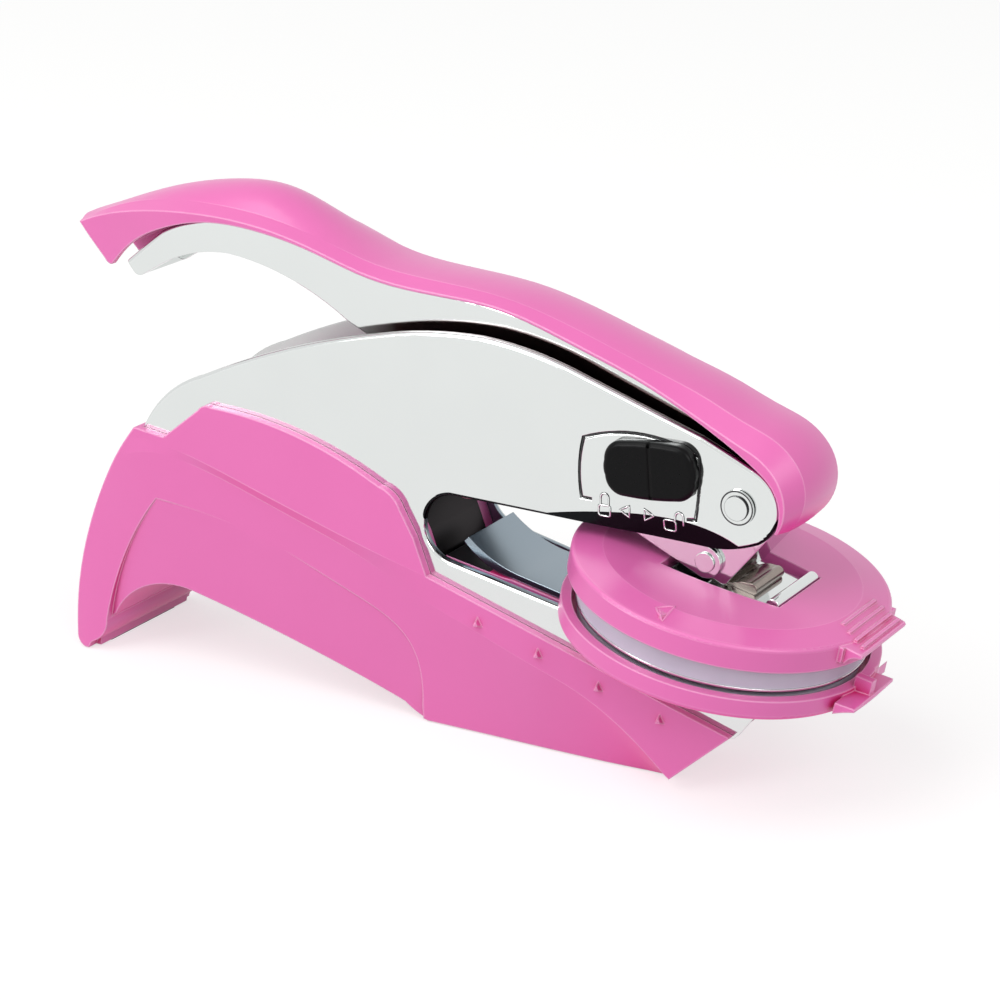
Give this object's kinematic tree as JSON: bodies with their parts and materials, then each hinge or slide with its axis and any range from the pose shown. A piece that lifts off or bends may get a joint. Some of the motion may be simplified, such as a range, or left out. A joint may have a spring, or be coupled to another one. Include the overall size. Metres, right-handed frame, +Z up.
{
  "type": "seal embosser",
  "caption": "hand-held desk embosser with a pink moulded base and clip, bright chrome lever frame and padded press handle that squeezes a round die pair",
  "frame": {"origin": "on the ground under the middle of the object's box, between the leg and the foot", "axes": "+X forward from the handle's end to the dies, +Y to the left when looking forward, +Z up"},
  "size_m": [0.2051, 0.0686, 0.1147],
  "materials": {
    "pink_moulding": "smooth satin-gloss moulding",
    "chrome_plate": "bright plated steel",
    "steel": "plain zinc-plated steel",
    "knuckle_steel": "hardened steel with a brown temper colour",
    "black_plastic": "black satin moulding",
    "die_resin": "grey lavender engraved resin",
    "pad_rubber": "soft black rubber"
  },
  "bodies": {
    "frame": {"base_shell": "pink_moulding", "frame_side_left": "chrome_plate", "frame_side_right": "chrome_plate", "bed_plate": "chrome_plate", "spring_bridge": "steel", "frame_tie": "steel", "pivot_pin": "chrome_plate", "base_screws": "steel", "foot_pad_front": "pad_rubber", "foot_pad_rear": "pad_rubber", "clip_lower": "pink_moulding", "lower_die": "die_resin", "return_spring": "steel"},
    "handle": {"handle_lever": "chrome_plate", "handle_cover": "pink_moulding", "pivot_bush": "steel", "ram_pin": "chrome_plate"},
    "links": {"link_left": "chrome_plate", "link_right": "chrome_plate", "link_pin": "steel"},
    "upper_clip": {"clip_upper": "pink_moulding", "upper_die": "die_resin", "die_ring": "steel", "press_shoe": "steel", "cam_knuckle": "knuckle_steel"},
    "lock": {"lock_slider": "black_plastic", "lock_bar": "steel"}
  },
  "joints": [
    {"name": "handle_press", "type": "hinge", "parent": "frame", "child": "handle", "pos_m": [0.07325, 0, 0.066], "axis": [0, -1, 0], "range_deg": [0, 6.5], "stiffness_Nm_per_rad": 1, "springref_deg": -20.05, "deforming": ["return_spring"]},
    {"name": "link_swing", "type": "hinge", "parent": "handle", "child": "links", "pos_m": [0.06495, 0, 0.0517], "axis": [0, -1, 0], "range_deg": [-8.8, 0]},
    {"name": "die_press", "type": "slide", "parent": "frame", "child": "upper_clip", "axis": [-0.1822, 0, -0.9833], "range_m": [0, 0.00102]},
    {"name": "lock_slide", "type": "slide", "parent": "frame", "child": "lock", "axis": [0.9994, 0.0349, 0], "range_m": [-0.005, 0]}
  ],
  "couplings": [
    {"joint": "link_swing", "follows": "handle_press", "ratio": -1.32},
    {"joint": "die_press", "follows": "handle_press", "m_per_rad": 0.0088}
  ]
}
